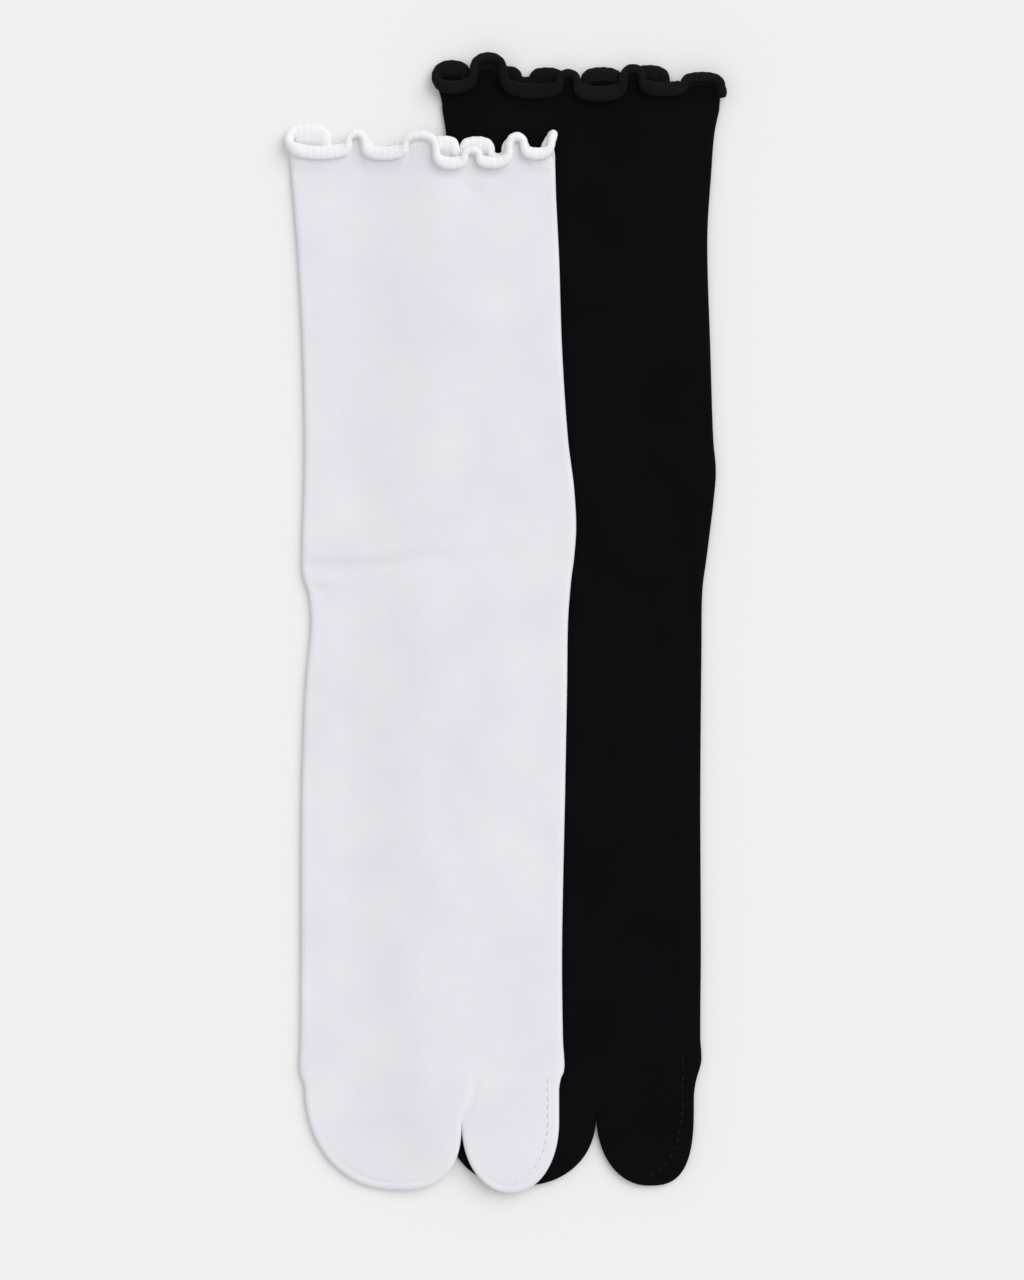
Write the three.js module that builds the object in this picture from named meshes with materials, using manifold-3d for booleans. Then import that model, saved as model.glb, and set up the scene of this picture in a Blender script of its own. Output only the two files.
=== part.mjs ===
// A pair of tabi socks, one white and one black, laid flat, the white one partly on the black one.
//
// Each sock is one fine cotton tube, knitted, pressed flat and closed round two toe pouches: a narrow
// one for the big toe and a wide one for the other four. At the cuff the edge is stretched into
// waves and rolls outwards, which makes the lettuce hem.
//
// Millimetres. +X is the big toes' side, +Y runs from toes to cuff, +Z is up, z = 0 is the surface
// that the socks lie on. "Down" is the distance from a sock's cuff seam towards its toes.

import * as THREE from 'three';
import { mergeVertices } from 'three/addons/utils/BufferGeometryUtils.js';
import Module from 'manifold-3d';

const wasm = await Module();
wasm.setup();

// Driving dimensions

const WALL = 1.0;                      // one layer of knitted cloth
const LAYER_GAP = 0.6;                 // air left between the front layer and the back layer
const FLAT = 2 * WALL + LAYER_GAP;     // thickness of a sock that lies flat
const PIECE_GAP = 0.3;                 // clearance at the hem's seam
const REST_GAP = 0.35;                 // clearance between the white sock and the black one below it
const RAISED = FLAT + REST_GAP;        // height of the white sock where it lies on the black one

const RAMP = 16;                       // width over which the white sock comes down off the black one
const RAMP_CLEAR = 2;                  // the ramp ends this far outside the black sock's edge
const TUCK = 0.15;                     // how far one tube's end hides inside the next at the toe seam
const POUCH_OVERLAP = 8;               // how far a toe pouch starts above the toe seam
const CROTCH_SLOPE = 0.25;             // how a pouch's inner edge leans over its neighbour's

const ROLL_RADIUS = 1.7;               // the hem's rolled edge
const ROLL_TURNS = 6;                  // steps round the rolled edge
const HEM_STEPS = 38;                  // steps across the front of a hem, and across its back

// The black sock's cuff seam, measured from the white sock's: sideways and towards the cuffs.
const BLACK_OFFSET = { x: 49.6, y: 23.8 };

const WHITE = {
  name: 'white',
  color: 0xe3e2e8,
  across: [0, 0.16, 0.29, 0.33, 0.37, 0.41, 0.45, 0.49, 0.53, 0.57, 0.76, 1],
  outline: [
    { down: 0, left: -48.0, right: 42.0 },         // cuff seam
    { down: 6.8, left: -47.3, right: 42.2 },
    { down: 27.2, left: -45.7, right: 43.2 },
    { down: 57.8, left: -44.2, right: 44.2 },
    { down: 88.4, left: -43.5, right: 46.2 },
    { down: 105.4, left: -43.7, right: 48.3 },     // heel
    { down: 119.0, left: -44.2, right: 49.0 },
    { down: 133.3, left: -44.5, right: 47.9 },     // ankle crease
    { down: 140.1, left: -42.8, right: 46.9 },
    { down: 151.3, left: -41.3, right: 46.2 },
    { down: 173.4, left: -43.4, right: 45.9 },
    { down: 210.8, left: -44.5, right: 45.2 },
    { down: 261.8, left: -44.7, right: 44.2 },
    { down: 292.4, left: -44.9, right: 44.5 },
    { down: 302.9, left: -45.3, right: 45.1 },     // toe seam
  ],
  toeSeam: { down: 311, left: -40, right: 40 },
  crotch: { down: 320.6, x: 10.1 },
  fourToes: {
    across: [0, 0.4, 0.62, 0.7, 0.78, 0.86, 0.93, 1],
    tip: { down: 343.8, x: -13.3 },
    left: { edge: -43.5, from: 307.7, power: 2.1 },
    right: { edge: 10.1, from: 320.6, power: 2.5 },
  },
  bigToe: {
    across: [0, 0.5, 1],
    tip: { down: 344.4, x: 26.9 },
    left: { edge: 10.1, from: 320.6, power: 2.3 },
    right: { edge: 43.3, from: 322.0, power: 2.0 },
  },
  hem: {
    left: -47.8,
    right: 39.9,
    front: [
      { at: -49.0, high: 14.0 },
      { at: -35.7, high: 8.5 },
      { at: -25.5, high: 14.6 },
      { at: -16.3, high: 8.2 },
      { at: -3.1, high: 13.9 },
      { at: 6.1, high: 4.4 },
      { at: 13.6, high: 8.5 },
      { at: 20.4, high: 4.4 },
      { at: 28.9, high: 13.3 },
      { at: 35.4, high: 7.5 },
      { at: 41.1, high: 14.0 },
    ],
    back: [
      { at: -49.0, high: 14.0 },
      { at: -40.8, high: 16.6 },
      { at: -33.0, high: 10.2 },
      { at: -25.0, high: 12.6 },
      { at: -16.0, high: 8.2 },
      { at: -4.0, high: 12.6 },
      { at: 5.8, high: 11.9 },
      { at: 9.8, high: 9.2 },
      { at: 15.3, high: 11.9 },
      { at: 22.4, high: 6.8 },
      { at: 28.2, high: 12.6 },
      { at: 35.4, high: 6.8 },
      { at: 41.1, high: 14.0 },
    ],
  },
};

const BLACK = {
  name: 'black',
  color: 0x111114,
  across: [0, 0.5, 1],
  outline: [
    { down: 0, left: -46.2, right: 48.3 },         // cuff seam
    { down: 8.2, left: -44.9, right: 46.6 },
    { down: 20.4, left: -44.0, right: 45.6 },
    { down: 44.2, left: -43.5, right: 44.2 },
    { down: 81.6, left: -44.2, right: 45.2 },
    { down: 112.2, left: -44.2, right: 46.2 },
    { down: 123.1, left: -44.5, right: 47.1 },     // heel
    { down: 132.6, left: -45.2, right: 46.4 },
    { down: 142.8, left: -46.9, right: 45.2 },
    { down: 153.0, left: -48.3, right: 43.9 },     // ankle crease
    { down: 163.9, left: -48.3, right: 42.5 },
    { down: 183.6, left: -46.9, right: 42.2 },
    { down: 234.6, left: -46.9, right: 41.8 },
    { down: 285.6, left: -46.9, right: 42.0 },
    { down: 316.2, left: -47.1, right: 41.8 },
    { down: 324.0, left: -47.4, right: 41.8 },     // toe seam
  ],
  toeSeam: { down: 332, left: -42, right: 37 },
  crotch: { down: 342.0, x: 6.5 },
  fourToes: {
    across: [0, 0.5, 1],
    tip: { down: 365.2, x: -18.0 },
    left: { edge: -45.5, from: 329.0, power: 2.6 },
    right: { edge: 6.5, from: 342.0, power: 2.2 },
  },
  bigToe: {
    across: [0, 0.5, 1],
    tip: { down: 365.4, x: 24.5 },
    left: { edge: 6.5, from: 342.0, power: 2.2 },
    right: { edge: 38.6, from: 343.0, power: 2.8 },
  },
  hem: {
    left: -47.1,
    right: 48.2,
    front: [
      { at: -48.3, high: 9.5 },
      { at: -42.8, high: 7.5 },
      { at: -30.1, high: 16.7 },
      { at: -16.3, high: 5.4 },
      { at: -3.1, high: 11.2 },
      { at: 7.8, high: 4.8 },
      { at: 18.7, high: 13.3 },
      { at: 29.2, high: 6.1 },
      { at: 40.5, high: 10.5 },
      { at: 49.4, high: 4.4 },
    ],
    back: [
      { at: -48.3, high: 9.5 },
      { at: -42.8, high: 14.8 },
      { at: -33.0, high: 8.5 },
      { at: -23.0, high: 13.0 },
      { at: -16.6, high: 8.8 },
      { at: -10.5, high: 12.2 },
      { at: -1.7, high: 7.5 },
      { at: 8.8, high: 12.2 },
      { at: 16.0, high: 6.4 },
      { at: 25.2, high: 13.2 },
      { at: 34.0, high: 6.4 },
      { at: 41.5, high: 9.5 },
      { at: 49.4, high: 4.4 },
    ],
  },
};

// Heights of the two layers at the top of the hem, where each lies between the rolled edges.
const HEM_BACK = 2 * ROLL_RADIUS - WALL + 0.05;
const HEM_FRONT = HEM_BACK + FLAT;

// Reads a table of rows at any place between them, along straight lines.
function readTable(rows, key, value, place) {
  const last = rows.length - 1;
  if (place <= rows[0][key]) return rows[0][value];
  if (place >= rows[last][key]) return rows[last][value];
  const above = rows.findIndex((row) => row[key] > place);
  const share = (place - rows[above - 1][key]) / (rows[above][key] - rows[above - 1][key]);
  return THREE.MathUtils.lerp(rows[above - 1][value], rows[above][value], share);
}

// Height of the white sock above the surface, in the white sock's own frame: it lies on the black
// sock to the right of that sock's left edge, and comes down to the surface to the left of it.
function restHeight(x, y) {
  const down = BLACK_OFFSET.y - y;
  const edge = BLACK_OFFSET.x + readTable(SUPPORT_EDGE, 'down', 'left', down);
  const start = edge - RAMP_CLEAR - RAMP;
  return RAISED * THREE.MathUtils.smoothstep(x, start, start + RAMP);
}

// The black sock's left edge, carried on past its toe seam to where the pouch turns in.
const SUPPORT_EDGE = [
  ...BLACK.outline,
  { down: BLACK.fourToes.tip.down - 15, left: BLACK.fourToes.left.edge + 2 },
  { down: BLACK.fourToes.tip.down, left: BLACK.fourToes.left.edge + 8 },
];

// One flat ring of a tube: from the left fold over the top to the right fold and back underneath.
function ring({ y, left, right, low, high }, across) {
  const half = (high - low) / 2;
  const middle = (high + low) / 2;
  const span = right - left - 2 * half;
  const fold = [0.3, 0.7];             // a point on the rounded fold: in from the edge, up from its middle
  const top = across.map((share) => [left + half + span * share, high]);
  const bottom = across.toReversed().map((share) => [left + half + span * share, low]);
  return [
    [left, middle],
    [left + fold[0] * half, middle + fold[1] * half],
    ...top,
    [right - fold[0] * half, middle + fold[1] * half],
    [right, middle],
    [right - fold[0] * half, middle - fold[1] * half],
    ...bottom,
    [left + fold[0] * half, middle - fold[1] * half],
  ].map(([x, z]) => new THREE.Vector3(x, y, z));
}

function geometryOf(points, triangles) {
  const geometry = new THREE.BufferGeometry();
  geometry.setFromPoints(points);
  geometry.setIndex(triangles.flat());
  return geometry;
}

// A closed tube through rings that run towards -Y, capped at both ends.
function loft(rings) {
  const size = rings[0].length;
  const triangles = [];
  for (let r = 0; r + 1 < rings.length; r += 1) {
    for (let i = 0; i < size; i += 1) {
      const a = r * size + i;
      const b = r * size + (i + 1) % size;
      triangles.push([a, a + size, b], [b, a + size, b + size]);
    }
  }
  // A cap joins each point of the upper row to the one below it.
  const lastRing = (rings.length - 1) * size;
  for (let i = 0; i < size / 2; i += 1) {
    const above = [i, i + 1];
    const below = [(size - i) % size, size - i - 1];
    const faces = [[above[0], above[1], below[0]], [above[1], below[1], below[0]]];
    if (i === 0) faces.shift();
    if (i + 1 === size / 2) faces.pop();
    faces.forEach((face) => {
      triangles.push(face, face.toReversed().map((k) => lastRing + k));
    });
  }
  return geometryOf(rings.flat(), triangles);
}

function solidOf(geometry) {
  const merged = mergeVertices(geometry, 1e-5);
  return new wasm.Manifold(new wasm.Mesh({
    numProp: 3,
    vertProperties: new Float32Array(merged.attributes.position.array),
    triVerts: new Uint32Array(merged.index.array),
  }));
}

function geometryFrom(solid) {
  const { vertProperties, triVerts } = solid.getMesh();
  const geometry = new THREE.BufferGeometry();
  geometry.setAttribute('position', new THREE.BufferAttribute(vertProperties, 3));
  geometry.setIndex(new THREE.BufferAttribute(triVerts, 1));
  return geometry;
}

// Lifts the points of a sock's rings to what it lies on.
function lay(rings, lift) {
  rings.flat().forEach((point) => {
    point.z += lift(point.x, point.y);
  });
  return rings;
}

// The leg and foot down to the toe seam. inset 0 gives its outside, inset WALL its hollow.
function footTube(sock, inset, lift) {
  const rows = sock.outline.map((row) => ({ ...row, tuck: 0 }));
  if (inset > 0) rows[0].down = -2;    // the hollow runs out through the cuff
  rows.push({ ...sock.toeSeam, tuck: TUCK });
  rows.push({ ...sock.toeSeam, down: sock.crotch.down - 3 - inset, tuck: TUCK });
  const rings = rows.map((row) => ring({
    y: -row.down,
    left: row.left + inset,
    right: row.right - inset,
    low: inset + row.tuck,
    high: FLAT - inset - row.tuck,
  }, sock.across));
  return solidOf(loft(lay(rings, lift)));
}

// Distance of a pouch's edge from its tip's middle line: straight above `from`, round below it.
function pouchEdge(side, tip, inset, down) {
  const reach = Math.abs(side.edge - tip.x) - inset;
  const share = (down - side.from) / (tip.down - inset - side.from);
  if (share <= 0) return reach;
  return reach * (1 - Math.min(share, 1) ** side.power) ** (1 / side.power);
}

// One toe pouch, from just above the toe seam to its round tip.
function pouch(sock, shape, inset, lift) {
  const { tip, left, right } = shape;
  const start = sock.outline.at(-1).down - POUCH_OVERLAP;
  const straight = Math.min(left.from, right.from);
  const length = tip.down - inset - straight;
  const turns = [0, 0.2, 0.38, 0.54, 0.68, 0.8, 0.89, 0.95, 0.985];
  const downs = [start, start + POUCH_OVERLAP, ...turns.map((turn) => straight + length * turn)];
  const rings = downs.map((down, i) => {
    const lean = CROTCH_SLOPE * Math.max(0, sock.crotch.down - down);
    const tuck = i === 0 ? TUCK : 0;
    return ring({
      y: -down,
      left: tip.x - pouchEdge(left, tip, inset, down) - (shape === sock.bigToe ? lean : 0),
      right: tip.x + pouchEdge(right, tip, inset, down) + (shape === sock.fourToes ? lean : 0),
      low: inset + tuck,
      high: FLAT - inset - tuck,
    }, shape.across);
  });
  return solidOf(loft(lay(rings, lift)));
}

function legAndFoot(sock, lift) {
  const part = (inset) => footTube(sock, inset, lift)
    .add(pouch(sock, sock.fourToes, inset, lift))
    .add(pouch(sock, sock.bigToe, inset, lift));
  return geometryFrom(part(0).subtract(part(WALL)));
}

// Height of the hem's edge above the seam, as smooth waves between the rows of a table.
function waveHeight(rows, x) {
  const next = Math.min(Math.max(rows.findIndex((row) => row.at > x), 1), rows.length - 1);
  const from = rows[next - 1];
  const to = rows[next];
  return THREE.MathUtils.lerp(from.high, to.high, THREE.MathUtils.smoothstep(x, from.at, to.at));
}

// The hem's section, from its seam on the outside, round the rolled edge, to its seam on the inside:
// how far it stands out from the middle of the cloth, and up from the rolled edge's middle.
const ROLL_OUT = ROLL_RADIUS - WALL / 2;
const ROLL_FOOT = Math.sqrt(ROLL_RADIUS ** 2 - (ROLL_OUT - WALL / 2) ** 2);
const ROLL_SECTION = [
  { out: WALL / 2, up: -ROLL_FOOT },
  ...Array.from({ length: ROLL_TURNS + 1 }, (unused, i) => {
    const angle = -Math.PI / 2 + (1.5 * Math.PI * i) / ROLL_TURNS;
    return { out: ROLL_OUT + ROLL_RADIUS * Math.cos(angle), up: ROLL_RADIUS * Math.sin(angle) };
  }),
];

// The hem: a band from the seam up to its edge, with the edge rolled outwards.
function lettuceHem(sock, lift) {
  const { hem } = sock;
  const seam = sock.outline[0];
  const across = Array.from({ length: HEM_STEPS + 1 }, (unused, i) => i / HEM_STEPS);
  const bandRing = (left, right, low, high, inset) => ring({
    y: PIECE_GAP,
    left: left + inset,
    right: right - inset,
    low: low + inset,
    high: high - inset,
  }, across);
  const foot = [0, WALL].map((inset) => bandRing(seam.left, seam.right, 0, FLAT, inset));
  const edge = [0, WALL].map((inset) => bandRing(hem.left, hem.right, HEM_BACK, HEM_FRONT, inset));

  const sections = edge[0].map((outside, i) => {
    const middle = outside.clone().add(edge[1][i]).divideScalar(2);
    const outwards = outside.clone().sub(edge[1][i]).normalize();
    const side = THREE.MathUtils.clamp((middle.z - HEM_BACK) / FLAT, 0, 1);
    const back = waveHeight(hem.back, middle.x);
    middle.y = THREE.MathUtils.lerp(back, waveHeight(hem.front, middle.x), side);
    const rolled = ROLL_SECTION.map(({ out, up }) => (
      middle.clone().addScaledVector(outwards, out).add(new THREE.Vector3(0, up, 0))
    ));
    return lay([[foot[0][i], ...rolled, foot[1][i]]], lift)[0];
  });

  const size = sections[0].length;
  const triangles = [];
  sections.forEach((section, s) => {
    const here = s * size;
    const there = ((s + 1) % sections.length) * size;
    section.forEach((point, i) => {
      const next = (i + 1) % size;
      triangles.push([here + i, there + i, here + next], [here + next, there + i, there + next]);
    });
  });
  return geometryOf(sections.flat(), triangles);
}

function clothMaterial(sock) {
  return new THREE.MeshStandardMaterial({ color: sock.color, roughness: 0.95, metalness: 0 });
}

// One sock as two meshes that lie together: leg and foot, and hem.
function makeSock(sock, place, lift) {
  const group = new THREE.Group();
  group.position.set(place.x, place.y, 0);
  const body = new THREE.Mesh(legAndFoot(sock, lift), clothMaterial(sock));
  body.name = `${sock.name}_leg_and_foot`;
  const hem = new THREE.Mesh(lettuceHem(sock, lift), clothMaterial(sock));
  hem.name = `${sock.name}_lettuce_hem`;
  group.add(body, hem);
  return group;
}

const pair = new THREE.Group();
pair.add(makeSock(WHITE, { x: 0, y: 0 }, restHeight));
pair.add(makeSock(BLACK, BLACK_OFFSET, () => 0));

// The origin is the middle of the pair's footprint, on the surface.
const box = new THREE.Box3().setFromObject(pair, true);
const middle = box.getCenter(new THREE.Vector3());
pair.position.set(-middle.x, -middle.y, -box.min.z);

export default pair;
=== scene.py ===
import math
import bpy
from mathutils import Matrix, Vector


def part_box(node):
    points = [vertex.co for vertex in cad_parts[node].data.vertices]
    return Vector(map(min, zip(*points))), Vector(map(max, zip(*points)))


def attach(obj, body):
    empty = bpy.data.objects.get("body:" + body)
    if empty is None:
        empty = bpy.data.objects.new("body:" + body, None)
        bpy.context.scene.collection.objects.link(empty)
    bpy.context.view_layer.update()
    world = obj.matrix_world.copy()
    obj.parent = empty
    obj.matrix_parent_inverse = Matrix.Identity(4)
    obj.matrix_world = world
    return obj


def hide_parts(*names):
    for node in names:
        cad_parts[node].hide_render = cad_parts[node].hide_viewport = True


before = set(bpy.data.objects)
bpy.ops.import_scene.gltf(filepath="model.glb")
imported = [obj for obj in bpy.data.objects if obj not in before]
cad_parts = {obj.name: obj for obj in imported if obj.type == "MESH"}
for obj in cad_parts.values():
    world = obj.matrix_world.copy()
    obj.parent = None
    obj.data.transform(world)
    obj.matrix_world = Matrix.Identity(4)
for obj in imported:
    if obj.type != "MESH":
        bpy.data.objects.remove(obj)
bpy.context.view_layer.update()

# Camera. It looks straight down at the pair, with the cuffs at the top of the picture. Its lens is
# long and far above, so the socks keep their true outlines. Plain lengths are in millimetres.
MM = 0.001
FRAME_HEIGHT = 436.7
VIEW_CENTRE = (2.2, -5.3)
camera_data = bpy.data.cameras.new("camera")
camera_data.lens = 85
camera_data.sensor_width = 36
camera = bpy.data.objects.new("camera", camera_data)
bpy.context.scene.collection.objects.link(camera)
camera_height = FRAME_HEIGHT * camera_data.lens / camera_data.sensor_width
camera.location = Vector((*VIEW_CENTRE, camera_height)) * MM
bpy.context.scene.camera = camera

# Floor: a smooth pale board that the socks are laid on, wide enough to fill every view. It is only
# the stage, and no part of the pair.
FLOOR_METRES = 6
bpy.ops.object.select_all(action="DESELECT")
bpy.ops.mesh.primitive_plane_add(size=FLOOR_METRES, location=(0, 0, 0))
floor = bpy.context.object
floor.name = "floor"
floor_paint = bpy.data.materials.new("pale_board")
floor_paint.use_nodes = True
floor_shader = floor_paint.node_tree.nodes["Principled BSDF"]
floor_shader.inputs["Base Color"].default_value = (0.86, 0.86, 0.86, 1)
floor_shader.inputs["Roughness"].default_value = 1
floor_shader.inputs["Specular IOR Level"].default_value = 0
floor.data.materials.append(floor_paint)

# Light: even light from all round, and one broad soft lamp high on the right, towards the cuffs,
# which leaves a faint shadow at the left of each edge.
bpy.context.scene.view_settings.view_transform = "Standard"
world = bpy.data.worlds.new("studio")
bpy.context.scene.world = world
world.use_nodes = True
sky = world.node_tree.nodes["Background"]
sky.inputs["Color"].default_value = (1, 1, 1, 1)
sky.inputs["Strength"].default_value = 0.68
lamp_data = bpy.data.lights.new("soft_lamp", "SUN")
lamp_data.angle = math.radians(50)
lamp_data.energy = 1.45
lamp = bpy.data.objects.new("soft_lamp", lamp_data)
bpy.context.scene.collection.objects.link(lamp)
lamp.location = (0.75, 0.6, 1.0)
lamp.rotation_euler = (-lamp.location).to_track_quat("-Z", "Y").to_euler()

# Black sock, leg and foot: one fine cotton tube, knitted round, pressed flat on the floor, and closed
# round two toe pouches by one seam. Its places are measured from the middle of its cuff seam, with
# "down" towards the toes, and the big toe on the right.
WALL = 0.8
FLAT = 2.6
FOLD_RADIUS = 1.5

BLACK = {
    "name": "black",
    "outline": [
        {"down": 0, "left": -46.2, "right": 48.3},
        {"down": 8.2, "left": -44.9, "right": 46.6},
        {"down": 20.4, "left": -44.0, "right": 45.6},
        {"down": 44.2, "left": -43.5, "right": 44.2},
        {"down": 81.6, "left": -44.2, "right": 45.2},
        {"down": 112.2, "left": -44.2, "right": 46.2},
        {"down": 123.1, "left": -44.5, "right": 47.1},
        {"down": 132.6, "left": -45.2, "right": 46.4},
        {"down": 142.8, "left": -46.9, "right": 45.2},
        {"down": 153.0, "left": -48.3, "right": 43.9},
        {"down": 163.9, "left": -48.3, "right": 42.5},
        {"down": 183.6, "left": -46.9, "right": 42.2},
        {"down": 234.6, "left": -46.9, "right": 41.8},
        {"down": 285.6, "left": -46.9, "right": 42.0},
        {"down": 316.2, "left": -47.1, "right": 41.8},
        {"down": 324.0, "left": -47.4, "right": 42.2},
        {"down": 328.0, "left": -46.6, "right": 41.2},
        {"down": 331.5, "left": -45.8, "right": 40.2},
        {"down": 336.0, "left": -45.4, "right": 39.6},
    ],
    "crotch": {"down": 343.8, "x": 6.3},
    "four_toes": {
        "tip": {"down": 366.6, "x": -18.0},
        "left": {"edge": -45.4, "from": 336.0, "power": 2.6},
        "right": {"edge": 6.3, "from": 343.8, "power": 2.2},
    },
    "big_toe": {
        "tip": {"down": 366.7, "x": 23.6},
        "left": {"edge": 6.3, "from": 343.8, "power": 2.2},
        "right": {"edge": 39.6, "from": 338.0, "power": 3.0},
    },
    "creases": [
        {"from": (36.5, 146), "to": (38.5, 182), "width": 2.0, "depth": 0.4},
        {"from": (20, 152), "to": (44, 149), "width": 3.0, "depth": 0.35},
        {"from": (6.3, 343), "to": (11.5, 329), "width": 1.1, "depth": 0.7},
        {"from": (14, 327), "to": (34, 328), "width": 3.0, "depth": 0.3},
        {"from": (10, 60), "to": (40, 80), "width": 8.0, "depth": 0.2},
        {"from": (12, 230), "to": (36, 214), "width": 8.0, "depth": 0.2},
    ],
}


def cuff_middle(sock):
    """The origin of a sock's own sizes: on the floor, under the middle of its cuff seam."""
    low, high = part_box(sock["name"] + "_leg_and_foot")
    widest_left = min(row["left"] for row in sock["outline"])
    return Vector((low[0] - widest_left * MM, high[1], 0))


def flat_on_the_floor(x, down):
    """How far the black sock is lifted at a place: nowhere."""
    return 0


BLACK["origin"] = cuff_middle(BLACK)
BLACK["lift"] = flat_on_the_floor


def smooth(x, start, end):
    """0 before start, 1 after end, and a soft S between them."""
    t = min(max((x - start) / (end - start), 0), 1)
    return t * t * (3 - 2 * t)


def along(rows, column, down):
    """A table's column at any place down the sock, on a curve through its rows."""
    last = len(rows) - 1
    if down <= rows[0]["down"]:
        return rows[0][column]
    if down >= rows[last]["down"]:
        return rows[last][column]
    i = next(n for n in range(last) if rows[n + 1]["down"] > down)
    slopes = []
    for n in (i, i + 1):
        before, after = rows[max(n - 1, 0)], rows[min(n + 1, last)]
        slopes.append((after[column] - before[column]) / (after["down"] - before["down"]))
    span = rows[i + 1]["down"] - rows[i]["down"]
    t = (down - rows[i]["down"]) / span
    return ((2 * t**3 - 3 * t**2 + 1) * rows[i][column] + (t**3 - 2 * t**2 + t) * span * slopes[0]
            + (3 * t**2 - 2 * t**3) * rows[i + 1][column] + (t**3 - t**2) * span * slopes[1])


def pouch_width(side, tip, down):
    """How far a pouch's edge is from the line down its tip: straight at first, then round."""
    reach = abs(side["edge"] - tip["x"])
    share = min(max((down - side["from"]) / (tip["down"] - side["from"]), 0), 1)
    return reach * (1 - share ** side["power"]) ** (1 / side["power"])


def pouch_depth(pouch, x, down):
    """Distance in from a pouch's rounded edge, near enough."""
    tip = pouch["tip"]
    side = pouch["left"] if x < tip["x"] else pouch["right"]
    reach = abs(side["edge"] - tip["x"])
    length = tip["down"] - side["from"]
    across = abs(x - tip["x"]) / reach
    below = max((down - side["from"]) / length, 0)
    share = (across ** side["power"] + below ** side["power"]) ** (1 / side["power"])
    if share == 0:
        return reach
    return max(1 - share, 0) * math.hypot(across * reach, below * length) / share


def outer_edges(sock, down):
    """A sock's left and right edges, down the leg and foot and round its toes."""
    outline, four, big = sock["outline"], sock["four_toes"], sock["big_toe"]
    if down <= outline[-1]["down"]:
        return along(outline, "left", down), along(outline, "right", down)
    return (four["tip"]["x"] - pouch_width(four["left"], four["tip"], down),
            big["tip"]["x"] + pouch_width(big["right"], big["tip"], down))


SPLIT_BEND = 20
SLIT_SLOPE = 0.05


def inner_edge(sock, in_four, down, left, right):
    """Where the pouches part: a line down the foot, and then each pouch's own side of the slit."""
    four, big, crotch = sock["four_toes"], sock["big_toe"], sock["crotch"]
    if down <= crotch["down"]:
        split = (crotch["x"] - four["left"]["edge"]) / (big["right"]["edge"] - four["left"]["edge"])
        middle = left + (right - left) * split
        bend = smooth(down, sock["outline"][-1]["down"] - SPLIT_BEND, crotch["down"])
        return middle + (crotch["x"] - middle) * bend
    opening = SLIT_SLOPE * (down - crotch["down"])
    if in_four:
        side = four["tip"]["x"] + pouch_width(four["right"], four["tip"], down)
        return max(side - opening, four["tip"]["x"])
    side = big["tip"]["x"] - pouch_width(big["left"], big["tip"], down)
    return min(side + opening, big["tip"]["x"])


def edge_depth(sock, in_four, x, down, left, middle, right):
    """How far in a place is from the nearest folded or sewn edge."""
    crotch = sock["crotch"]
    depth = min(x - left, right - x)
    if crotch["down"] >= down > sock["outline"][-1]["down"]:
        depth = min(depth, math.hypot(x - crotch["x"], crotch["down"] - down))
    if down > crotch["down"]:
        pouch = sock["four_toes"] if in_four else sock["big_toe"]
        inner = middle - x if in_four else x - middle
        depth = min(depth, pouch_depth(pouch, x, down), inner)
    return max(depth, 0)


CREASE_OVERRUN = 0.3
CREASE_FADE_IN = 0.15
CREASE_FADE_OUT = 0.6
CREASE_WANDER = 0.5
CREASE_WANDER_TURN = 7
CREASE_LIP = 0.45
CREASE_LIP_PLACE = 2
CREASE_LIP_WIDTH = 1.3


def crease_depth(creases, x, down):
    """Depth of the pressed-in creases at a place: each is a soft trough that fades at its ends."""
    total = 0
    for crease in creases:
        (x0, d0), (x1, d1) = crease["from"], crease["to"]
        width = crease["width"]
        length = math.hypot(x1 - x0, d1 - d0)
        t = ((x - x0) * (x1 - x0) + (down - d0) * (d1 - d0)) / length**2
        off = ((x - x0) * (d1 - d0) - (down - d0) * (x1 - x0)) / length
        off += CREASE_WANDER * math.sin(t * CREASE_WANDER_TURN + x0)
        fade = smooth(t, -CREASE_OVERRUN, CREASE_FADE_IN)
        fade *= 1 - smooth(t, CREASE_FADE_OUT, 1 + CREASE_OVERRUN)
        trough = math.exp(-(off / width) ** 2)
        lip_off = off - CREASE_LIP_PLACE * width
        lip = CREASE_LIP * math.exp(-(lip_off / (CREASE_LIP_WIDTH * width)) ** 2)
        total += crease["depth"] * fade * (trough - lip)
    return total


SLACK = {"height": 0.10, "across": (0.21, 0.05), "down": (0.06, 0.13)}
FLAT_EDGE = {"start": 0.2, "end": 3}
FLAT_CUFF = 4
SEAM_GROOVE = {"inset": 2.7, "half_width": 0.5, "depth": 0.16, "lead": 6}


def cloth_height(sock, front, x, down, depth):
    """Height of the cloth's outer face over what it lies on: round at the edges, creased in front."""
    share = min(depth / FOLD_RADIUS, 1)
    half = FLAT / 2 * math.sqrt(max(1 - (1 - share) ** 2, 0))
    if not front:
        return FLAT / 2 - half
    height = FLAT / 2 + half
    inside = smooth(depth, FLAT_EDGE["start"], FLAT_EDGE["end"]) * smooth(down, 0, FLAT_CUFF)
    height -= inside * crease_depth(sock["creases"], x, down)
    swell = math.sin(x * SLACK["across"][0] + down * SLACK["across"][1])
    swell *= math.sin(down * SLACK["down"][1] - x * SLACK["down"][0])
    height += inside * SLACK["height"] * swell
    toes = sock["outline"][-1]["down"]
    groove = math.exp(-((depth - SEAM_GROOVE["inset"]) / SEAM_GROOVE["half_width"]) ** 2)
    return height - SEAM_GROOVE["depth"] * groove * smooth(down, toes - SEAM_GROOVE["lead"], toes)


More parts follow.
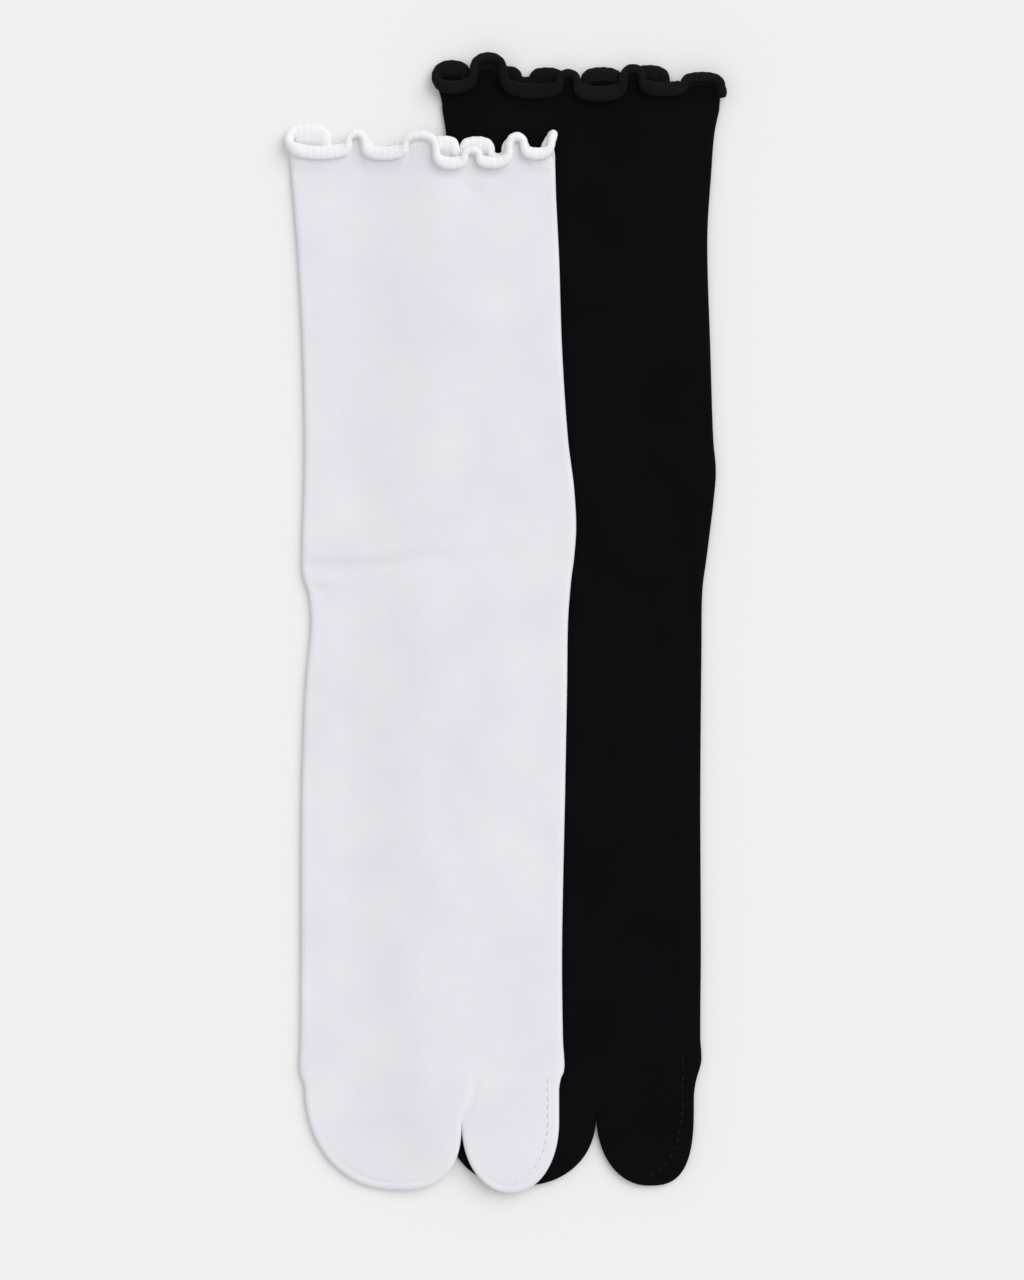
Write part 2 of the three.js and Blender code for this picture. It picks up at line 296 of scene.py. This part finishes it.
FOUR_COLUMNS = 44
BIG_COLUMNS = 32
LAYER_COLUMNS = FOUR_COLUMNS + BIG_COLUMNS
BODY_ROWS = 170
TOE_ROWS = 44
EDGE_STEPS = [0, 0.15, 0.5, 1.1, 2.0, 3.2]


def place_across(column, columns, left, right):
    """Where a column lies across a span of cloth: close together at its two edges."""
    ends = len(EDGE_STEPS)
    squeeze = min(1, (right - left) / (4 * EDGE_STEPS[-1]))
    if column < ends:
        return left + EDGE_STEPS[column] * squeeze
    if column >= columns - ends:
        return right - EDGE_STEPS[columns - 1 - column] * squeeze
    inner_left = left + EDGE_STEPS[-1] * squeeze
    inner_right = right - EDGE_STEPS[-1] * squeeze
    return inner_left + (inner_right - inner_left) * (column - ends + 1) / (columns - 2 * ends + 1)


def row_down(sock, in_four, row):
    """How far down the sock a row of cloth lies: rows crowd together at a toe's tip."""
    crotch = sock["crotch"]["down"]
    if row <= BODY_ROWS:
        return crotch * row / BODY_ROWS
    tip = sock["four_toes" if in_four else "big_toe"]["tip"]["down"]
    return crotch + (tip - crotch) * math.sin(math.pi / 2 * (row - BODY_ROWS) / TOE_ROWS)


def cloth_point(sock, row, column):
    """Where a point of the sheet lies. Columns cross the front, and then come back behind it."""
    front = column < LAYER_COLUMNS
    column = column if front else 2 * LAYER_COLUMNS - 1 - column
    in_four = column < FOUR_COLUMNS
    down = row_down(sock, in_four, row)
    left, right = outer_edges(sock, down)
    middle = inner_edge(sock, in_four, down, left, right)
    if in_four:
        x = place_across(column, FOUR_COLUMNS, left, middle)
    else:
        x = place_across(column - FOUR_COLUMNS, BIG_COLUMNS, middle, right)
    depth = edge_depth(sock, in_four, x, down, left, middle, right)
    if row == BODY_ROWS + TOE_ROWS:
        depth = 0
    height = cloth_height(sock, front, x, down, depth) + sock["lift"](x, down)
    return sock["origin"] + Vector((x, -down, height)) * MM


def open_slit(cloth):
    """Cuts the two layers between the toe pouches, and sews front to back round each pouch."""
    slits = {FOUR_COLUMNS - 1, 2 * LAYER_COLUMNS - 1 - FOUR_COLUMNS}
    bpy.ops.object.mode_set(mode="EDIT")
    bpy.ops.mesh.select_mode(type="FACE")
    bpy.ops.mesh.select_all(action="DESELECT")
    bpy.ops.object.mode_set(mode="OBJECT")
    for face in cloth.data.polygons:
        row, column = divmod(min(face.vertices), 2 * LAYER_COLUMNS)
        face.select = column in slits and row >= BODY_ROWS
    bpy.ops.object.mode_set(mode="EDIT")
    bpy.ops.mesh.delete(type="FACE")
    bpy.ops.mesh.select_mode(type="VERT")
    bpy.ops.mesh.select_all(action="SELECT")
    bpy.ops.mesh.remove_doubles(threshold=0.008 * MM)
    bpy.ops.mesh.normals_make_consistent(inside=False)
    bpy.ops.object.mode_set(mode="OBJECT")


def thicken(cloth, offset):
    """Gives a sheet its thickness and smooths it: offset -1 is all inwards, 0 half to each side."""
    bpy.ops.object.select_all(action="DESELECT")
    cloth.select_set(True)
    bpy.context.view_layer.objects.active = cloth
    wall = cloth.modifiers.new("wall", "SOLIDIFY")
    wall.thickness = WALL * MM
    wall.offset = offset
    bpy.ops.object.modifier_apply(modifier=wall.name)
    bpy.ops.object.shade_smooth_by_angle(angle=math.radians(50))


def make_leg_and_foot(sock, jersey):
    """The tube as one sheet, folded at its left edge and sewn at its right, with its toes."""
    bpy.ops.object.select_all(action="DESELECT")
    bpy.ops.mesh.primitive_grid_add(
        x_subdivisions=2 * LAYER_COLUMNS - 1, y_subdivisions=BODY_ROWS + TOE_ROWS, size=1)
    cloth = bpy.context.object
    cloth.name = sock["name"] + "_knitted_sock"
    for vertex in cloth.data.vertices:
        vertex.co = cloth_point(sock, *divmod(vertex.index, 2 * LAYER_COLUMNS))
    open_slit(cloth)
    thicken(cloth, offset=-1)
    cloth.data.materials.append(jersey)
    return cloth


# The knit of both socks: fine cotton jersey. Its wales run down the sock, and each stitch is a
# small V. The group gives the stitches' height, and a soft random mottle with painted shade in the
# fuzz's dips.
WALES_PER_METRE = 1050
COURSES_PER_METRE = 1500
WALE_DRIFT = 0.8
STITCH_SLANT = 1.4
LOOP_HEIGHT = 0.22
FUZZ_HEIGHT = 0.9
FUZZ_PAINTED_SHADE = 0.6
knit = bpy.data.node_groups.new("jersey_knit", "ShaderNodeTree")
knit.interface.new_socket("Place", in_out="INPUT", socket_type="NodeSocketVector")
knit.interface.new_socket("Wales per metre", in_out="INPUT", socket_type="NodeSocketFloat")
knit.interface.new_socket("Courses per metre", in_out="INPUT", socket_type="NodeSocketFloat")
knit.interface.new_socket("Height", in_out="OUTPUT", socket_type="NodeSocketFloat")
knit.interface.new_socket("Mottle and painted shade", in_out="OUTPUT", socket_type="NodeSocketFloat")


def cloth_noise(tree, place, scale, detail):
    """A noise over the cloth, from the socket that gives the place."""
    noise = tree.nodes.new("ShaderNodeTexNoise")
    noise.inputs["Scale"].default_value = scale
    noise.inputs["Detail"].default_value = detail
    tree.links.new(place, noise.inputs["Vector"])
    return noise.outputs["Fac"]


def maths(tree, operation, *values):
    """A maths node, fed by numbers and sockets."""
    node = tree.nodes.new("ShaderNodeMath")
    node.operation = operation
    for socket, value in zip(node.inputs, values):
        if isinstance(value, (int, float)):
            socket.default_value = value
        else:
            tree.links.new(value, socket)
    return node.outputs[0]


knit_in = knit.nodes.new("NodeGroupInput")
knit_out = knit.nodes.new("NodeGroupOutput")
knit_place = knit_in.outputs["Place"]
axes = knit.nodes.new("ShaderNodeSeparateXYZ")
knit.links.new(knit_place, axes.inputs[0])
drift = cloth_noise(knit, knit_place, scale=60, detail=2)
wander = maths(knit, "MULTIPLY_ADD", drift, WALE_DRIFT, -WALE_DRIFT / 2)
wales = maths(knit, "MULTIPLY_ADD", axes.outputs["X"], knit_in.outputs["Wales per metre"], wander)
in_wale = maths(knit, "ABSOLUTE", maths(knit, "SUBTRACT", maths(knit, "FRACT", wales), 0.5))
ridge = maths(knit, "SUBTRACT", 1, maths(knit, "MULTIPLY", maths(knit, "POWER", in_wale, 2), 4))
courses = maths(knit, "MULTIPLY", axes.outputs["Y"], knit_in.outputs["Courses per metre"])
slanted = maths(knit, "ADD", courses, maths(knit, "MULTIPLY", in_wale, STITCH_SLANT))
loops = maths(knit, "SINE", maths(knit, "MULTIPLY", slanted, math.tau))
stitch = maths(knit, "MULTIPLY_ADD", loops, LOOP_HEIGHT, ridge)
fuzz = cloth_noise(knit, knit_place, scale=2600, detail=3)
knit.links.new(maths(knit, "MULTIPLY_ADD", fuzz, FUZZ_HEIGHT, stitch), knit_out.inputs["Height"])
patches = cloth_noise(knit, knit_place, scale=45, detail=5)
# The fuzz also darkens the colour where its bumps dip: painted shade.
fine = maths(knit, "MULTIPLY", maths(knit, "SUBTRACT", fuzz, 0.5), FUZZ_PAINTED_SHADE)
knit.links.new(maths(knit, "ADD", patches, fine), knit_out.inputs["Mottle and painted shade"])


def knitted_cloth(name, dark, light, sheen, bump, place):
    """Knitted cotton: dark and light are the ends of its random mottle, which has painted shade in the
    fuzz's dips, and place "Object" or "UV".
    """
    cloth = bpy.data.materials.new(name)
    cloth.use_nodes = True
    tree = cloth.node_tree
    shader = tree.nodes["Principled BSDF"]
    shader.inputs["Roughness"].default_value = 0.95
    shader.inputs["Specular IOR Level"].default_value = 0.1
    shader.inputs["Sheen Weight"].default_value = sheen
    shader.inputs["Sheen Roughness"].default_value = 0.6
    coordinates = tree.nodes.new("ShaderNodeTexCoord")
    stitches = tree.nodes.new("ShaderNodeGroup")
    stitches.node_tree = knit
    stitches.inputs["Wales per metre"].default_value = WALES_PER_METRE
    stitches.inputs["Courses per metre"].default_value = COURSES_PER_METRE
    tree.links.new(coordinates.outputs[place], stitches.inputs["Place"])
    ramp = tree.nodes.new("ShaderNodeValToRGB")
    ramp.color_ramp.elements[0].position = 0.25
    ramp.color_ramp.elements[0].color = (*dark, 1)
    ramp.color_ramp.elements[1].position = 0.75
    ramp.color_ramp.elements[1].color = (*light, 1)
    tree.links.new(stitches.outputs["Mottle and painted shade"], ramp.inputs["Fac"])
    tree.links.new(ramp.outputs["Color"], shader.inputs["Base Color"])
    relief = tree.nodes.new("ShaderNodeBump")
    relief.inputs["Strength"].default_value = bump
    relief.inputs["Distance"].default_value = 0.15 * MM
    tree.links.new(stitches.outputs["Height"], relief.inputs["Height"])
    tree.links.new(relief.outputs["Normal"], shader.inputs["Normal"])
    return cloth


black_jersey = knitted_cloth(
    "black_jersey", (0.0011, 0.0011, 0.0017), (0.0024, 0.0024, 0.0033), sheen=0, bump=1, place="Object")
black_leg = make_leg_and_foot(BLACK, black_jersey)
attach(black_leg, "root")
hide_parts("black_leg_and_foot")

# White sock, leg and foot: a tube of the same cotton jersey, in white. It is laid on the left half
# of the black sock, bends down beside it to the floor, and has a pressed fold across its ankle.
REST_GAP = 0.35
RAMP = 32
RAMP_CLEAR = 2
TOE_DRAPE = 8

WHITE = {
    "name": "white",
    "outline": [
        {"down": 0, "left": -48.0, "right": 42.0},
        {"down": 6.8, "left": -47.3, "right": 42.2},
        {"down": 27.2, "left": -45.7, "right": 43.2},
        {"down": 57.8, "left": -44.2, "right": 44.2},
        {"down": 88.4, "left": -43.5, "right": 46.2},
        {"down": 105.4, "left": -43.7, "right": 48.3},
        {"down": 119.0, "left": -44.2, "right": 49.0},
        {"down": 130.0, "left": -44.4, "right": 48.2},
        {"down": 135.0, "left": -44.1, "right": 47.5},
        {"down": 141.0, "left": -42.2, "right": 46.9},
        {"down": 151.3, "left": -41.3, "right": 46.2},
        {"down": 173.4, "left": -43.2, "right": 45.9},
        {"down": 210.8, "left": -44.5, "right": 45.2},
        {"down": 261.8, "left": -44.7, "right": 44.2},
        {"down": 292.4, "left": -44.9, "right": 44.5},
        {"down": 302.9, "left": -45.3, "right": 45.0},
        {"down": 306.0, "left": -44.6, "right": 43.8},
        {"down": 309.0, "left": -43.5, "right": 43.2},
    ],
    "crotch": {"down": 322.8, "x": 10.1},
    "four_toes": {
        "tip": {"down": 344.3, "x": -13.3},
        "left": {"edge": -43.5, "from": 309.0, "power": 2.1},
        "right": {"edge": 10.1, "from": 322.8, "power": 2.7},
    },
    "big_toe": {
        "tip": {"down": 344.9, "x": 26.6},
        "left": {"edge": 10.1, "from": 322.8, "power": 2.2},
        "right": {"edge": 43.2, "from": 320.6, "power": 2.1},
    },
    "creases": [
        {"from": (-46, 133.5), "to": (2, 129.5), "width": 2.2, "depth": 0.75},
        {"from": (0, 130), "to": (34, 127), "width": 4.0, "depth": 0.25},
        {"from": (-18, 138), "to": (3, 133), "width": 1.6, "depth": 0.22},
        {"from": (-45, 137), "to": (-36, 141), "width": 1.8, "depth": 0.5},
        {"from": (11, 1), "to": (16, 7), "width": 3.2, "depth": 0.55},
        {"from": (-30, 4), "to": (-10, 10), "width": 6.0, "depth": 0.3},
        {"from": (20, 303), "to": (38, 304), "width": 3.2, "depth": 0.32},
        {"from": (10.1, 322), "to": (15.5, 305), "width": 1.1, "depth": 0.55},
        {"from": (-10, 190), "to": (25, 214), "width": 7.0, "depth": 0.18},
        {"from": (-30, 236), "to": (2, 250), "width": 8.0, "depth": 0.16},
        {"from": (5, 255), "to": (32, 240), "width": 7.0, "depth": 0.16},
    ],
}


def over_the_black_sock(x, down):
    """Height of the white sock's underside: up on the black sock, and down beside it."""
    step = BLACK["origin"] - WHITE["origin"]
    black_down = down + step.y / MM
    edge = step.x / MM + along(BLACK["outline"], "left", black_down)
    edge += TOE_DRAPE * smooth(
        black_down, BLACK["outline"][-1]["down"], BLACK["four_toes"]["tip"]["down"])
    start = edge - RAMP_CLEAR - RAMP
    return (FLAT + REST_GAP) * smooth(x, start, start + RAMP)


WHITE["origin"] = cuff_middle(WHITE)
WHITE["lift"] = over_the_black_sock
white_jersey = knitted_cloth(
    "white_jersey", (0.745, 0.740, 0.792), (0.805, 0.800, 0.848), sheen=0.1, bump=0.22, place="Object")
white_leg = make_leg_and_foot(WHITE, white_jersey)
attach(white_leg, "root")
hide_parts("white_leg_and_foot")

# Lettuce hems: each cuff's own rib edge, stretched while it is overlocked, so it waves and curls out
# into a thick roll. "arm" is where the roll crosses from one wave to the next, "peak" how high the
# wave before it reaches above the cuff seam, and "wide" half its width.
ROLL_HALF = 1.6
ARM_HALF = 1.4
BROAD = 1.7
FLOOR_CLEAR = 0.05
FRONT_OVER_BACK = 3.2
HEM_COLUMNS = 460
WAVE_STEPS = 24
WAVE_SQUARENESS = 0.7
BROAD_SINK = 0.5
LINE_SOFTENING = 2
WIDTH_SOFTENING = 12
FACING_SOFTENING = 60
SEAM_SOFTENING = 200

BLACK["hem"] = {
    "left": {"x": -48.2, "high": 10.5},
    "right": {"x": 49.4, "high": 4.6},
    "front": [
        {"arm": -35.5, "peak": 6.8, "wide": 2.4},
        {"arm": -25.3, "peak": 17.2, "wide": 1.7},
        {"arm": -6.2, "peak": 5.6, "wide": 2.8},
        {"arm": -0.3, "peak": 11.6, "wide": 1.6},
        {"arm": 15.4, "peak": 4.6, "wide": 2.9},
        {"arm": 21.8, "peak": 13.2, "wide": 1.7},
        {"arm": 36.2, "peak": 6.2, "wide": 2.7},
        {"arm": 48.6, "peak": 10.4, "wide": 1.8},
    ],
    "back": [
        {"arm": -38.0, "peak": 14.9, "wide": 1.9},
        {"arm": -29.0, "peak": 9.0, "wide": 1.7},
        {"arm": -20.4, "peak": 13.0, "wide": 1.8},
        {"arm": -15.0, "peak": 9.4, "wide": 1.6},
        {"arm": -5.6, "peak": 12.4, "wide": 1.9},
        {"arm": 2.4, "peak": 7.0, "wide": 1.7},
        {"arm": 14.2, "peak": 12.4, "wide": 2.0},
        {"arm": 18.6, "peak": 6.6, "wide": 1.6},
        {"arm": 30.0, "peak": 13.2, "wide": 1.9},
        {"arm": 37.0, "peak": 6.4, "wide": 1.7},
        {"arm": 46.0, "peak": 9.0, "wide": 1.7},
    ],
}
WHITE["hem"] = {
    "left": {"x": -48.6, "high": 13.5},
    "right": {"x": 41.3, "high": 15.0},
    "front": [
        {"arm": -28.4, "peak": 8.4, "wide": 2.5},
        {"arm": -22.9, "peak": 14.9, "wide": 1.6},
        {"arm": -9.0, "peak": 8.0, "wide": 2.5},
        {"arm": 1.4, "peak": 14.0, "wide": 1.7},
        {"arm": 11.2, "peak": 4.4, "wide": 2.3},
        {"arm": 16.0, "peak": 9.0, "wide": 1.6},
        {"arm": 26.2, "peak": 4.6, "wide": 2.2},
        {"arm": 31.2, "peak": 13.4, "wide": 1.7},
        {"arm": 40.4, "peak": 7.6, "wide": 2.2},
    ],
    "back": [
        {"arm": -35.6, "peak": 16.8, "wide": 1.9},
        {"arm": -29.0, "peak": 9.0, "wide": 1.8},
        {"arm": -21.0, "peak": 12.2, "wide": 1.8},
        {"arm": -12.0, "peak": 7.6, "wide": 1.8},
        {"arm": 1.8, "peak": 12.2, "wide": 1.8},
        {"arm": 8.0, "peak": 12.4, "wide": 1.9},
        {"arm": 10.8, "peak": 8.2, "wide": 1.6},
        {"arm": 20.0, "peak": 12.2, "wide": 1.9},
        {"arm": 25.0, "peak": 6.6, "wide": 1.7},
        {"arm": 32.0, "peak": 12.2, "wide": 1.8},
        {"arm": 38.5, "peak": 6.4, "wide": 1.8},
    ],
}


def wave_line(hem, layer):
    """The roll's middle line along one layer, left to right: (x, y, half width) of its points."""
    start, end, rows = hem["left"], hem["right"], hem[layer]
    arms = [start["x"]] + [row["arm"] for row in rows]
    peaks = [row["peak"] for row in rows] + [end["high"]]
    levels = [start["high"]] + [(before + after) / 2 for before, after in zip(peaks, peaks[1:])]
    points = []
    for n, row in enumerate(rows):
        middle = (arms[n] + arms[n + 1]) / 2
        half = (arms[n + 1] - arms[n]) / 2
        for k in range(WAVE_STEPS):
            angle = math.pi * k / WAVE_STEPS
            level = levels[n] if k < WAVE_STEPS / 2 else levels[n + 1]
            rise = math.sin(angle) ** WAVE_SQUARENESS
            points.append((middle - half * math.cos(angle), level + (row["peak"] - level) * rise,
                           row["wide"]))
    points.append((arms[-1], levels[-1], BROAD))
    points.append((end["x"], end["high"], BROAD))
    return points


def spread(points, count):
    """count + 1 points at even distances along a line of (x, y, half width)."""
    lengths = [0]
    for a, b in zip(points, points[1:]):
        lengths.append(lengths[-1] + math.hypot(b[0] - a[0], b[1] - a[1]))
    spaced = []
    n = 0
    for k in range(count + 1):
        want = lengths[-1] * k / count
        while n < len(points) - 2 and lengths[n + 1] < want:
            n += 1
        t = (want - lengths[n]) / max(lengths[n + 1] - lengths[n], 1e-9)
        t = min(max(t, 0), 1)
        spaced.append(tuple(a + (b - a) * t for a, b in zip(points[n], points[n + 1])))
    return spaced


def soften(values, passes):
    """Evens out a ring of values."""
    for _ in range(passes):
        values = [(values[i - 1] + 2 * v + values[(i + 1) % len(values)]) / 4
                  for i, v in enumerate(values)]
    return values


def hem_line(hem):
    """The roll's middle all round, with its half widths and the side each point faces, 1 or -1."""
    half = HEM_COLUMNS // 2
    front = spread(wave_line(hem, "front"), half)
    back = spread(wave_line(hem, "back"), half)[::-1]
    line = front[:-1] + back[:-1]
    xs = soften([x for x, _, _ in line], LINE_SOFTENING)
    ys = soften([y for _, y, _ in line], LINE_SOFTENING)
    wides = soften([wide for _, _, wide in line], WIDTH_SOFTENING)
    facings = soften([1.0] * half + [-1.0] * half, FACING_SOFTENING)
    core = []
    for x, y, wide, facing in zip(xs, ys, wides, facings):
        z = ROLL_HALF + FLOOR_CLEAR + FRONT_OVER_BACK / 2 * (1 + facing)
        z -= BROAD_SINK * max(wide - BROAD, 0) * max(facing, 0)
        core.append(Vector((x, y, z)))
    return core, wides, facings


def seam_places(core, seam):
    """Where each point of the roll is joined to the cuff seam: the same order, evened out."""
    xs = soften([point.x for point in core], SEAM_SOFTENING)
    width = (seam["right"] - seam["left"]) / (max(xs) - min(xs))
    shift = seam["left"] - min(xs) * width
    return [min(max(x * width + shift, seam["left"]), seam["right"]) for x in xs]


def seam_foot(x, seam, facing):
    """The foot of the hem at the cuff seam, halfway through the wall of the leg's own layer."""
    depth = min(x - seam["left"], seam["right"] - x)
    lean = max(1 - depth / FOLD_RADIUS, 0) * (-1 if x < 0 else 1)
    rise = math.sqrt(1 - lean**2) * (1 if facing >= 0 else -1)
    outwards = Vector((lean / FOLD_RADIUS, 0, rise / (FLAT / 2))).normalized()
    return Vector((x, 0, FLAT / 2 + FLAT / 2 * rise)) - outwards * (WALL / 2)


SHEET_ROWS = 12
SHEET_RISE = 0.4
SHEET_TURN = 0.3
CURL_ROWS = 16
CURL_END = math.radians(215)
CURL_TIGHTENING = 0.18
RIB_STEP = 2.3
RIB_DEPTH = 0.035
BROAD_TURN = 1.5
BROAD_FLATTENING = 0.45


def hem_section(centre, tangent, facing, wide, travelled, foot):
    """One column of the hem's cloth: up from the cuff seam, then round the curl."""
    turn = math.acos(min(max(facing, -1), 1))
    out = Vector(((-1 if centre.x < 0 else 1) * math.sin(turn), 0, math.cos(turn)))
    free = out.cross(tangent).normalized()
    out = tangent.cross(free).normalized()
    rib = 1 + RIB_DEPTH * math.sin(math.tau * travelled / RIB_STEP)
    broad = ARM_HALF + (wide - ARM_HALF) * abs(tangent.x) ** BROAD_TURN
    half_out = (ROLL_HALF - BROAD_FLATTENING * max(broad - BROAD, 0)) * rib - WALL / 2
    half_free = broad * rib - WALL / 2
    start = centre - out * half_out
    reach = (start - foot).length
    leaving = foot + Vector((0, SHEET_RISE * reach, 0))
    arriving = start - free * SHEET_TURN * reach
    section = []
    for r in range(SHEET_ROWS):
        t = r / SHEET_ROWS
        section.append(foot * (1 - t) ** 3 + leaving * 3 * t * (1 - t) ** 2
                       + arriving * 3 * t * t * (1 - t) + start * t**3)
    for r in range(CURL_ROWS):
        angle = -math.pi / 2 + (CURL_END + math.pi / 2) * r / (CURL_ROWS - 1)
        tighten = 1 - CURL_TIGHTENING * smooth(angle, math.pi / 2, CURL_END)
        section.append(centre + free * half_free * tighten * math.cos(angle)
                       + out * half_out * tighten * math.sin(angle))
    return section


JERSEY_ROWS = SHEET_ROWS - 3
ROW_STEP = 0.8


def make_hem(sock, jersey, rib):
    """The hem as a ring of cloth that is jersey at its foot and rib on its roll, the rib coloured
    lighter with painted light.
    """
    seam = sock["outline"][0]
    core, wides, facings = hem_line(sock["hem"])
    places = seam_places(core, seam)
    travelled = [0]
    sections = []
    for i, centre in enumerate(core):
        ahead = core[(i + 1) % HEM_COLUMNS]
        tangent = (ahead - core[i - 1]).normalized()
        foot = seam_foot(places[i], seam, facings[i])
        sections.append(hem_section(centre, tangent, facings[i], wides[i], travelled[i], foot))
        travelled.append(travelled[i] + (ahead - centre).length)
    bpy.ops.object.select_all(action="DESELECT")
    bpy.ops.mesh.primitive_grid_add(
        x_subdivisions=HEM_COLUMNS, y_subdivisions=SHEET_ROWS + CURL_ROWS - 1, size=1)
    cloth = bpy.context.object
    cloth.name = sock["name"] + "_lettuce_edge"
    across = HEM_COLUMNS + 1
    for vertex in cloth.data.vertices:
        row, column = divmod(vertex.index, across)
        point = sections[column % HEM_COLUMNS][row]
        lift = Vector((0, 0, sock["lift"](point.x, -point.y)))
        vertex.co = sock["origin"] + (point + lift) * MM
    places_on_cloth = cloth.data.uv_layers.active.data
    for loop in cloth.data.loops:
        row, column = divmod(loop.vertex_index, across)
        places_on_cloth[loop.index].uv = (travelled[column] * MM, row * ROW_STEP * MM)
    cloth.data.materials.append(jersey)
    cloth.data.materials.append(rib)
    # The roll's faces take the rib colours, lighter than the jersey's: painted light.
    for face in cloth.data.polygons:
        face.material_index = int(min(face.vertices) // across >= JERSEY_ROWS)
    bpy.ops.object.mode_set(mode="EDIT")
    bpy.ops.mesh.select_all(action="SELECT")
    bpy.ops.mesh.remove_doubles(threshold=0.001 * MM)
    bpy.ops.mesh.normals_make_consistent(inside=False)
    bpy.ops.object.mode_set(mode="OBJECT")
    thicken(cloth, offset=0)
    return cloth


# The black rib is coloured lighter than the black jersey: painted light on the roll.
black_rib_painted_light = knitted_cloth(
    "black_rib_painted_light", (0.0029, 0.0027, 0.0025), (0.0098, 0.0089, 0.0075), sheen=0.01, bump=1, place="UV")
black_hem = make_hem(BLACK, black_jersey, black_rib_painted_light)
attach(black_hem, "root")
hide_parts("black_lettuce_hem")
# The white rib is coloured lighter than the white jersey: painted light that lifts the shade on the
# roll.
white_rib_painted_light = knitted_cloth(
    "white_rib_painted_light", (0.87, 0.865, 0.89), (0.92, 0.915, 0.935), sheen=0.1, bump=0.6, place="UV")
white_hem = make_hem(WHITE, white_jersey, white_rib_painted_light)
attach(white_hem, "root")
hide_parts("white_lettuce_hem")

# Toe seam stitches: the cotton thread that closes the big toe's pouch. It is machine sewn, and shows
# as a row of short dashes just inside the pouch's outer edge and round its tip.
STITCH_STEP = 3.0
STITCH_LENGTH = 1.7
STITCH_RADIUS = 0.22
STITCH_FLATNESS = 0.7
STITCH_SINK = 0.02
STITCH_SHADE = 0.85
STITCH_INSET = 3.9
STITCH_LEAD = 14
TIP_STEPS = 24
TIP_STEP_ANGLE = 4

twist = bpy.data.node_groups.new("thread_twist_painted_shade", "ShaderNodeTree")
twist.interface.new_socket("Place", in_out="INPUT", socket_type="NodeSocketVector")
twist.interface.new_socket("Dark", in_out="INPUT", socket_type="NodeSocketColor")
twist.interface.new_socket("Light", in_out="INPUT", socket_type="NodeSocketColor")
twist.interface.new_socket("Color", in_out="OUTPUT", socket_type="NodeSocketColor")
twist_in = twist.nodes.new("NodeGroupInput")
twist_out = twist.nodes.new("NodeGroupOutput")
# Painted shade: noise darkens the thread in spots, standing for the hollows of its twist.
tones = twist.nodes.new("ShaderNodeMixRGB")
twist.links.new(cloth_noise(twist, twist_in.outputs["Place"], scale=3000, detail=2), tones.inputs["Fac"])
twist.links.new(twist_in.outputs["Dark"], tones.inputs["Color1"])
twist.links.new(twist_in.outputs["Light"], tones.inputs["Color2"])
twist.links.new(tones.outputs["Color"], twist_out.inputs["Color"])


def cotton_thread(name, color):
    """Sewing thread, with random spots of painted shade standing for the hollows of its twist."""
    thread = bpy.data.materials.new(name)
    thread.use_nodes = True
    tree = thread.node_tree
    shader = tree.nodes["Principled BSDF"]
    shader.inputs["Roughness"].default_value = 0.7
    shader.inputs["Specular IOR Level"].default_value = 0.2
    coordinates = tree.nodes.new("ShaderNodeTexCoord")
    strands = tree.nodes.new("ShaderNodeGroup")
    strands.node_tree = twist
    strands.inputs["Dark"].default_value = (*[STITCH_SHADE * c for c in color], 1)
    strands.inputs["Light"].default_value = (*color, 1)
    tree.links.new(coordinates.outputs["Object"], strands.inputs["Place"])
    tree.links.new(strands.outputs["Color"], shader.inputs["Base Color"])
    return thread


def seam_line(sock):
    """The stitches' line, down the big toe's outer side and round its tip."""
    tip, side = sock["big_toe"]["tip"], sock["big_toe"]["right"]
    reach = side["edge"] - tip["x"] - STITCH_INSET
    depth = tip["down"] - side["from"] - STITCH_INSET
    line = [(tip["x"] + reach, side["from"] - STITCH_LEAD), (tip["x"] + reach, side["from"])]
    for n in range(1, TIP_STEPS + 1):
        angle = math.radians(TIP_STEP_ANGLE * n)
        line.append((tip["x"] + reach * math.cos(angle), side["from"] + depth * math.sin(angle)))
    return line


def make_stitches(sock, thread):
    """The row of dashes, each a small flat bead of thread that lies along the seam."""
    line = seam_line(sock)
    length = sum(math.dist(a, b) for a, b in zip(line, line[1:]))
    places = spread(line, round(length / STITCH_STEP))
    bpy.ops.object.select_all(action="DESELECT")
    made = []
    for (x, down), (next_x, next_down) in zip(places, places[1:]):
        height = FLAT + sock["lift"](x, down) - STITCH_SINK
        bpy.ops.mesh.primitive_uv_sphere_add(
            segments=12, ring_count=8, radius=STITCH_RADIUS * MM,
            location=sock["origin"] + Vector((x, -down, height)) * MM,
            rotation=(0, 0, math.atan2(down - next_down, next_x - x)),
            scale=(STITCH_LENGTH / 2 / STITCH_RADIUS, 1, STITCH_FLATNESS))
        made.append(bpy.context.object)
    bpy.ops.object.select_all(action="DESELECT")
    for stitch in made:
        stitch.select_set(True)
    bpy.context.view_layer.objects.active = made[0]
    bpy.ops.object.join()
    bpy.ops.object.transform_apply(location=True, rotation=True, scale=True)
    bpy.ops.object.shade_smooth()
    stitches = bpy.context.object
    stitches.name = sock["name"] + "_toe_stitches"
    stitches.data.materials.append(thread)
    return stitches


black_stitches = make_stitches(BLACK, cotton_thread("black_thread", (0.0034, 0.0034, 0.004)))
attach(black_stitches, "root")
white_stitches = make_stitches(WHITE, cotton_thread("white_thread", (0.66, 0.655, 0.70)))
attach(white_stitches, "root")
